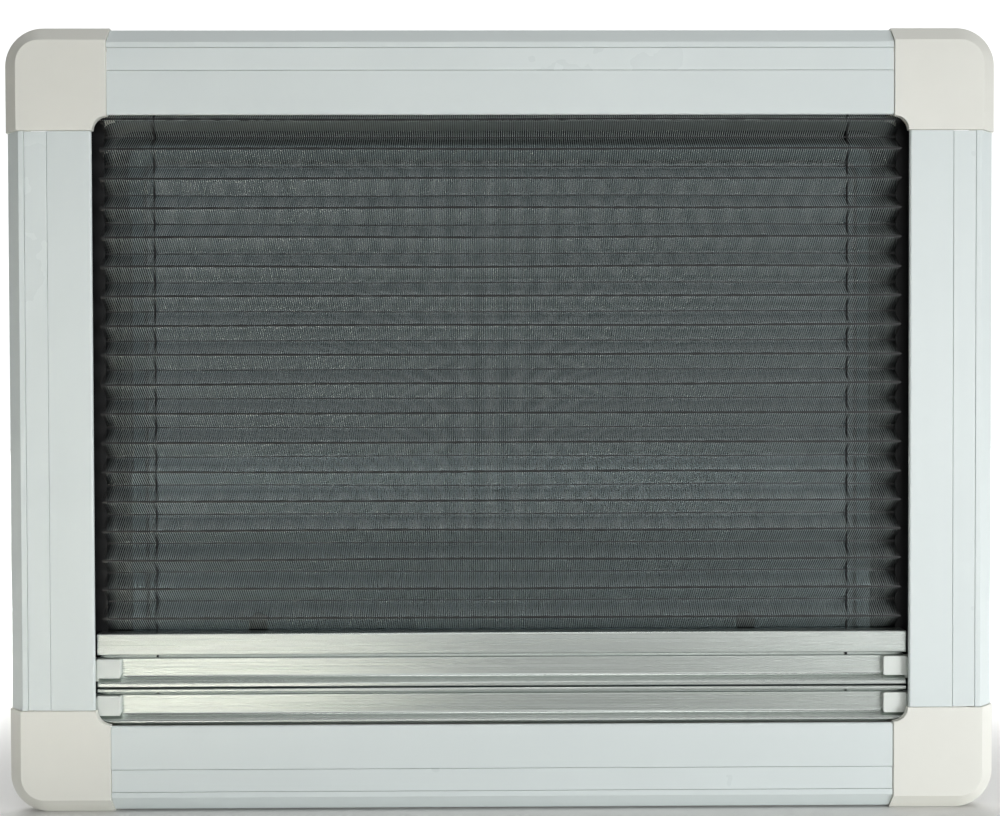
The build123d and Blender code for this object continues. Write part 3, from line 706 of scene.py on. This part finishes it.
@dataclass
class PleatedCloth:
    """A cloth folded to and fro into pleats across the opening.

    Attributes:
        node: CAD node that the cloth stands for, which gives its place.
        pleats: Number of full pleats.
        columns: Faces across the cloth.
        face_rows: Rows of faces between two folds.
        wander: How far a fold strays up or down across the width.
        waves: Number of waves in which it strays.
        grip: How steeply the straying dies out towards the held ends.
        bow: How far a face bulges between its folds.
        seed: Start of the random draws.
        low: Lowest corner of the node's box.
        high: Highest corner of that box.
    """

    node: str
    pleats: int
    columns: int = 72
    face_rows: int = 4
    wander: float = 0.5 * MM
    waves: float = 1.5
    grip: float = 8.0
    bow: float = 0.25 * MM
    seed: int = 7
    low: Vector = field(init=False)
    high: Vector = field(init=False)

    def __post_init__(self) -> None:
        """Reads the cloth's place from its CAD node."""
        self.low, self.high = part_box(self.node)

    @property
    def folds(self) -> int:
        """Number of faces between folds."""
        return 2 * self.pleats

    @property
    def width(self) -> float:
        """Width of the cloth."""
        return self.high.x - self.low.x

    @property
    def face_length(self) -> float:
        """Length of cloth from one fold to the next."""
        rise = (self.high.z - self.low.z) / self.folds
        return math.hypot(rise, self.high.y - self.low.y)

    def height_at(self, share: float) -> float:
        """Height of a point of the cloth.

        Args:
            share: Share of the cloth's length below the point.

        Returns:
            Its height in the frame.
        """
        return self.low.z + (self.high.z - self.low.z) * share

    def build(self) -> bpy.types.Object:
        """Folds a flat grid into pleats.

        Returns:
            The cloth, with its length and width in metres as its UV map.
        """
        draw = random.Random(self.seed)
        strays = [(draw.uniform(-1, 1), draw.uniform(0, math.tau)) for _ in range(self.folds + 1)]
        work = bmesh.new()
        layer = work.loops.layers.uv.new("cloth")
        bmesh.ops.create_grid(work, x_segments=self.columns, y_segments=self.folds * self.face_rows,
                              size=0.5, calc_uvs=False)
        for face in work.faces:
            for corner in face.loops:
                across, share = corner.vert.co.x + 0.5, corner.vert.co.y + 0.5
                corner[layer].uv = (across * self.width, share * self.folds * self.face_length)
        for vert in work.verts:
            across, share = vert.co.x + 0.5, vert.co.y + 0.5
            vert.co = self.fold_point(across, share, strays)
        for edge in work.edges:
            if len(edge.link_faces) == 2 and edge.calc_face_angle() > SHARP_FOLD:
                edge.smooth = False
        for face in work.faces:
            face.smooth = True
        return finish_mesh(work, f"{self.node}_cloth")

    def fold_point(self, across: float, share: float, strays: list[tuple[float, float]]) -> Vector:
        """Place of a point of the flat cloth once it is folded.

        Args:
            across: Share of the width to the left of the point.
            share: Share of the length below it.
            strays: Reach and phase of each fold's wander.

        Returns:
            The point in the frame.
        """
        count = min(int(share * self.folds + ROUNDING), self.folds - 1)
        rest = share * self.folds - count
        forward = rest if count % 2 == 0 else 1 - rest
        depth = self.high.y + (self.low.y - self.high.y) * forward
        depth -= self.bow * math.sin(math.pi * rest)
        sway = [reach * math.sin(math.tau * across * self.waves + phase)
                for reach, phase in strays[count:count + 2]]
        stray = self.wander * (sway[0] * (1 - rest) + sway[1] * rest)
        held = min(1.0, self.grip * share, self.grip * (1 - share))
        return Vector((self.low.x + across * self.width, depth, self.height_at(share) + stray * held))


@dataclass
class FlyScreen(PleatedCloth):
    """Black mesh between the top rail and the upper pull bar, which it follows by folding up; here it is
    built as fixed pleats.

    Attributes:
        travel: How far the bar rises; not used.
    """

    node: str = "flyscreen"
    pleats: int = 19
    travel: float = BAR_TRAVEL

    def install(self, wardrobe: Wardrobe) -> None:
        """Builds the screen and hangs it in the frame.

        Args:
            wardrobe: Where the materials are kept.
        """
        cloth = self.build()
        cloth.data.materials.append(wardrobe.material(FLY_MESH))
        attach(cloth, Body.FRAME.value)
        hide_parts(self.node)
        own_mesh(cloth)
        LOG.info("built %s, %d pleats", cloth.name, self.pleats)


@dataclass
class BlackoutBlind(PleatedCloth):
    """Cream blackout cloth, stacked behind the bottom rail and drawn up by the lower pull bar; here it is
    built as a fixed stack.

    Attributes:
        travel: How far the bar rises.
        halvings: Steps in the search for a point's height in the stack.
    """

    node: str = "blackout_blind"
    pleats: int = 30
    travel: float = BAR_TRAVEL
    face_rows: int = 2
    columns: int = 48
    wander: float = 0.0
    bow: float = 0.0
    halvings: int = 40

    def height_at(self, share: float) -> float:
        """Height of a point of the stack, spaced so that the drawn blind has even pleats.

        Args:
            share: Share of the cloth's length below the point.

        Returns:
            Its height in the frame while the blind is folded.
        """
        stack = self.high.z - self.low.z
        target = share * (stack + self.travel)
        low, high = 0.0, 1.0
        for _ in range(self.halvings):
            middle = (low + high) / 2
            drawn = stack * middle + self.travel * middle * middle * (3 - 2 * middle)
            low, high = (middle, high) if drawn < target else (low, middle)
        return self.low.z + stack * low

    def install(self, wardrobe: Wardrobe) -> None:
        """Builds the blind in its folded stack.

        Args:
            wardrobe: Where the materials are kept.
        """
        cloth = self.build()
        cloth.data.materials.append(wardrobe.material(BLIND_CLOTH))
        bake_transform(cloth)
        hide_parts(self.node)
        LOG.info("built %s, %d pleats", cloth.name, self.pleats)


@dataclass
class DrawCord:
    """Taut cord through the pleats: strands laid round each other.

    Attributes:
        node: CAD node that the cord stands for.
        strands: Number of strands.
        strand_share: Radius of a strand as a share of the cord's.
        fullness: How much the laid strands stand out beyond the CAD cord.
        doublings: How often one turn of the strands is doubled to fill the cord.
        turn_steps: Steps in one turn.
        sides: Sides of a strand.
        seam: Distance within which the ends of two turns are joined.
    """

    node: str
    strands: int = 3
    strand_share: float = 0.52
    fullness: float = 1.4
    doublings: int = 7
    turn_steps: int = 9
    sides: int = 6
    seam: float = 0.01 * MM

    def install(self, wardrobe: Wardrobe) -> None:
        """Lays the strands up the cord's line and fixes the cord to the frame.

        Args:
            wardrobe: Where the materials are kept.
        """
        low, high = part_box(self.node)
        radius = self.fullness * (high.x - low.x) / 2
        height = (high.z - low.z) / 2 ** self.doublings
        work = bmesh.new()
        for index in range(self.strands):
            self.spin_turn(work, radius, height, math.tau * index / self.strands)
        for _ in range(self.doublings):
            copy = bmesh.ops.duplicate(work, geom=[*work.verts, *work.edges, *work.faces])["geom"]
            above = [part for part in copy if isinstance(part, bmesh.types.BMVert)]
            bmesh.ops.translate(work, verts=above, vec=(0, 0, height))
            height *= 2
        bmesh.ops.remove_doubles(work, verts=work.verts, dist=self.seam)
        rims = [edge for edge in work.edges if edge.is_boundary]
        bmesh.ops.holes_fill(work, edges=rims, sides=self.sides)
        bmesh.ops.recalc_face_normals(work, faces=work.faces)
        bmesh.ops.translate(work, verts=work.verts, vec=((low.x + high.x) / 2, (low.y + high.y) / 2, low.z))
        for face in work.faces:
            face.smooth = len(face.verts) == 4
        cord = finish_mesh(work, f"{self.node}_strands")
        cord.data.materials.append(wardrobe.material(CORD_POLYESTER))
        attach(cord, Body.FRAME.value)
        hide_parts(self.node)
        LOG.info("built %s, %d strands", cord.name, self.strands)

    def spin_turn(self, work: bmesh.types.BMesh, radius: float, height: float, start: float) -> None:
        """Spins one full turn of a strand.

        Args:
            work: The bmesh that gets it.
            radius: Radius of the cord.
            height: Rise of the strand in one turn.
            start: Angle at which the strand starts.
        """
        strand = radius * self.strand_share
        ring = bmesh.ops.create_circle(work, segments=self.sides, radius=strand)["verts"]
        offset = Matrix.Rotation(start, 3, "Z") @ Vector((radius - strand, 0, 0))
        bmesh.ops.translate(work, verts=ring, vec=offset)
        edges = {edge for vert in ring for edge in vert.link_edges}
        bmesh.ops.spin(work, geom=[*ring, *edges], cent=(0, 0, 0), axis=(0, 0, 1), angle=math.tau,
                       dvec=(0, 0, height / self.turn_steps), steps=self.turn_steps)


@dataclass(frozen=True)
class SoftLight:
    """An area light.

    Attributes:
        name: What it does.
        place: Where it stands.
        aim: What it points at.
        size: Width and height of its face.
        power: Its power in watts.
        colour: Its colour.
        spread: Angle in degrees of the light that leaves it.
        mirrored: Whether metal and pane mirror the lamp itself.
    """

    name: str
    place: tuple[float, float, float]
    aim: tuple[float, float, float]
    size: tuple[float, float]
    power: float
    colour: str = "#FFFFFF"
    spread: float = 180.0
    mirrored: bool = True

    def build(self) -> None:
        """Puts the light in the scene."""
        data = bpy.data.lights.new(self.name, "AREA")
        data.shape = "RECTANGLE"
        data.size, data.size_y = self.size
        data.energy = self.power
        data.color = linear(self.colour)[:3]
        data.spread = math.radians(self.spread)
        lamp = bpy.data.objects.new(self.name, data)
        lamp.location = self.place
        lamp.visible_camera = False
        lamp.visible_transmission = False
        lamp.visible_glossy = self.mirrored
        lamp.rotation_euler = (Vector(self.aim) - Vector(self.place)).to_track_quat("-Z", "Y").to_euler()
        bpy.context.scene.collection.objects.link(lamp)


@dataclass
class Studio:
    """Pale floor, soft light and the photograph's camera.

    Attributes:
        floor_size: Side of the floor.
        floor_front: Where the floor ends behind the camera.
        floor_colour: Colour of its paint.
        floor_gap: How far it lies below the object.
        back_light: Brightness behind the object.
        wall_light: Brightness of the room at eye level.
        ceiling_light: Brightness overhead.
        ceiling_span: Upward directions between which the wall passes into the ceiling.
        back_span: Backward directions between which the wall passes into the back.
        front_dim: How much darker the wall behind the camera is.
        front_span: Forward directions between which that wall passes into the others.
        window_light: Brightness of the bright panel on that wall, which the pane mirrors faintly.
        window_span: Forward directions between which the panel fades.
        window_reach: How far the panel reaches sideways.
        window_sides: Share of its brightness that is left beyond that reach.
        window_low: Lowest direction of the panel.
        window_high: Highest direction of the panel.
        window_fade: Softness of the panel's upper and lower edges.
        side_fade: Softness of its side edges, inwards and outwards.
        camera_place: Where the camera stands.
        camera_yaw: Degrees that it is turned to the right.
        camera_pitch: Degrees that it looks down.
        camera_roll: Degrees that it is rolled.
        camera_lens: Its focal length in millimetres.
        camera_sensor: Width of its sensor in millimetres.
        lights: The lamps.
    """

    floor_size: float = 7.2
    floor_front: float = -1.7
    floor_colour: str = "#E9E9E7"
    floor_gap: float = 0.2 * MM
    back_light: float = 1.15
    wall_light: float = 0.04
    ceiling_light: float = 0.5
    ceiling_span: tuple[float, float] = (0.55, 1.0)
    back_span: tuple[float, float] = (0.62, 0.84)
    front_dim: float = 0.03
    front_span: tuple[float, float] = (-0.92, -0.8)
    window_light: float = 1.8
    window_span: tuple[float, float] = (-0.5, 0.0)
    window_reach: float = 0.34
    window_sides: float = 0.08
    window_low: float = -0.187
    window_high: float = 0.3
    window_fade: float = 0.02
    side_fade: tuple[float, float] = (0.1, 0.08)
    camera_place: tuple[float, float, float] = (-0.0081, -0.8836, 0.2839)
    camera_yaw: float = 0.436
    camera_pitch: float = 0.835
    camera_roll: float = -0.155
    camera_lens: float = 42.66
    camera_sensor: float = 36.0
    lights: tuple[SoftLight, ...] = (
        SoftLight("side key", (2.8, -2.8, 0.5), (0, 0, 0.26), (1.2, 1.2), 56.0, "#FBFCFF"),
        SoftLight("low fill", (1.5, -1.1, 0.05),
                  (0.2, -0.02, 0.0), (0.5, 0.2), 1.1, "#FBFCFF", 60.0),
        SoftLight("bar light", (0.15, -0.6, 1.25),
                  (0.1, -0.02, 0.05), (1.0, 0.3), 0.2, "#FFFFFF", 40.0),
        SoftLight("front floor", (0, -0.85, 1.5), (0, -0.85, 0), (1.6, 0.3), 0.6, "#FFFFFF", 50.0),
        SoftLight("near floor", (0, -0.4, 1.5),
                  (0, -0.37, -0.03), (1.3, 0.15), 0.3, "#FFFFFF", 35.0, False),
        SoftLight("floor glow", (-0.4, -0.48, 0.8),
                  (-0.36, -0.43, -0.03), (0.25, 0.2), 1.8, "#FFFAEC", 36.0),
        SoftLight("right floor glow", (0.48, -0.68, 0.8),
                  (0.46, -0.64, -0.03), (0.2, 0.15), 0.27, "#FFFFFF", 28.0),
        SoftLight("near back floor", (0, 0.8, 1.0), (0, 0.8, 0), (1.6, 0.9), 3.0, "#FFFFFF", 60.0),
        SoftLight("left floor", (-0.7, 0.58, 0.7),
                  (-0.7, 0.6, -0.03), (0.2, 1.0), 3.5, "#FFFFFF", 36.0, False),
        SoftLight("right floor", (0.7, 0.58, 0.7),
                  (0.7, 0.6, -0.03), (0.2, 1.0), 3.5, "#FFFFFF", 36.0, False),
        SoftLight("back floor", (0, 3.7, 2.6), (0, 3.7, 0), (7.0, 3.6), 230.0, "#FFFFFF", 120.0),
    )

    def build(self) -> None:
        """Builds the studio round the object."""
        self.lay_floor()
        self.light_room()
        for light in self.lights:
            light.build()
        self.place_camera()

    def lay_floor(self) -> None:
        """Lays a matt pale floor under the object."""
        work = bmesh.new()
        bmesh.ops.create_grid(work, x_segments=1, y_segments=1, size=self.floor_size / 2)
        middle = self.floor_front + self.floor_size / 2
        bmesh.ops.translate(work, verts=work.verts, vec=(0, middle, CAD_BOX[0].z - self.floor_gap))
        floor = finish_mesh(work, "studio_floor")
        paint = MouldedFinish("Matt floor paint", "", self.floor_colour, self.floor_colour,
                              roughness=0.8, drift_mm=400.0)
        floor.data.materials.append(paint.build())

    def light_room(self) -> None:
        """Makes the room pale behind the object, and lights a panel on the wall behind the camera."""
        world = bpy.data.worlds.new("pale studio")
        bpy.context.scene.world = world
        world.use_nodes = True
        tree = world.node_tree
        way = add_node(tree, "ShaderNodeTexCoord").outputs["Generated"]
        side, depth, rise = add_node(tree, "ShaderNodeSeparateXYZ", {0: way}).outputs
        reach = add_node(tree, "ShaderNodeMath", {0: side}, operation="ABSOLUTE").outputs[0]
        side_edge = (self.window_reach - self.side_fade[0], self.window_reach + self.side_fade[1])
        low_edge = (self.window_low - self.window_fade, self.window_low + self.window_fade)
        high_edge = (self.window_high - self.window_fade, self.window_high + self.window_fade)
        steps = ((rise, self.ceiling_span, (self.wall_light, self.ceiling_light)),
                 (depth, self.back_span, (0.0, self.back_light - self.wall_light)),
                 (depth, self.front_span, (-self.front_dim, 0.0)),
                 (depth, self.window_span, (self.window_light, 0.0)),
                 (reach, side_edge, (1.0, self.window_sides)),
                 (rise, low_edge, (0.0, 1.0)),
                 (rise, high_edge, (1.0, 0.0)))
        room, back, front, panel, *edges = [
            add_node(tree, "ShaderNodeMapRange",
                     {0: value, 1: span[0], 2: span[1], 3: levels[0], 4: levels[1]},
                     interpolation_type="SMOOTHSTEP").outputs[0]
            for value, span, levels in steps]
        for edge in edges:
            panel = add_node(tree, "ShaderNodeMath", {0: panel, 1: edge}, operation="MULTIPLY").outputs[0]
        level = room
        for share in (back, front, panel):
            level = add_node(tree, "ShaderNodeMath", {0: level, 1: share}, operation="ADD").outputs[0]
        tree.links.new(level, tree.nodes["Background"].inputs["Strength"])
        tree.nodes["Background"].inputs["Color"].default_value = linear("#FFFFFF")

    def place_camera(self) -> None:
        """Sets up the camera at the photograph's viewpoint."""
        data = bpy.data.cameras.new("photograph")
        data.sensor_width = self.camera_sensor
        data.lens = self.camera_lens
        camera = bpy.data.objects.new("photograph", data)
        turn = Matrix.Rotation(-math.radians(self.camera_yaw), 3, "Z")
        turn @= Matrix.Rotation(math.radians(90 - self.camera_pitch), 3, "X")
        turn @= Matrix.Rotation(math.radians(self.camera_roll), 3, "Z")
        camera.rotation_euler = turn.to_euler()
        camera.location = self.camera_place
        bpy.context.scene.collection.objects.link(camera)
        bpy.context.scene.camera = camera
        bpy.context.scene.view_settings.view_transform = "Standard"


def main() -> None:
    """Builds the studio, dresses the CAD nodes and adds the soft pieces."""
    logging.basicConfig(level=logging.INFO, format="%(message)s")
    wardrobe = Wardrobe()
    Studio().build()
    TrimFrame().dress(wardrobe)
    PullBars().dress(wardrobe)
    OuterWindow().dress(wardrobe)
    FlyScreen().install(wardrobe)
    BlackoutBlind().install(wardrobe)
    for hand in ("left", "right"):
        DrawCord(f"draw_cord_{hand}").install(wardrobe)


if __name__ == "__main__":
    main()
